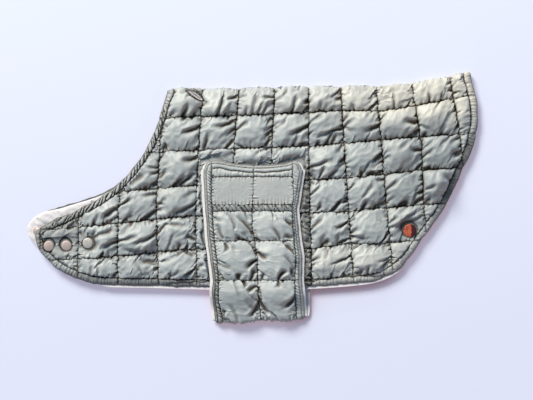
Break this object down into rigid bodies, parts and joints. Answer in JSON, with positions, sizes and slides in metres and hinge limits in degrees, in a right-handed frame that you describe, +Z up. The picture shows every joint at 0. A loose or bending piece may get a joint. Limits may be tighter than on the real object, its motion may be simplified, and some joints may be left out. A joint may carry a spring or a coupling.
{
  "type": "dog winter coat",
  "caption": "Quilted dog coat with fleece lining, neck straps with snaps and a wide belly band, folded in half along the spine and lying flat.",
  "frame": {"origin": "on the floor, under the middle of the bounding box of the coat as it lies folded", "axes": "+X from the neck to the tail, +Y from the belly to the spine fold, +Z up off the floor"},
  "size_m": [0.5221, 0.2932, 0.0209],
  "materials": {
    "shell_nylon": "grey sage box-quilted nylon, soft sheen, fine puckers along the stitching",
    "fleece": "short-nap off-white fleece with a faint pink cast",
    "rose_metal": "rose-toned metal snap parts, satin",
    "copper": "plain polished copper disc"
  },
  "bodies": {
    "root": {"body_shell": "shell_nylon", "body_lining": "fleece", "band_shell": "shell_nylon", "band_lining": "fleece", "snap_cap_1": "rose_metal", "snap_cap_2": "rose_metal", "snap_cap_3": "rose_metal", "snap_stud_1": "rose_metal", "snap_stud_2": "rose_metal", "snap_stud_3": "rose_metal", "rivet": "copper"}
  },
  "joints": []
}
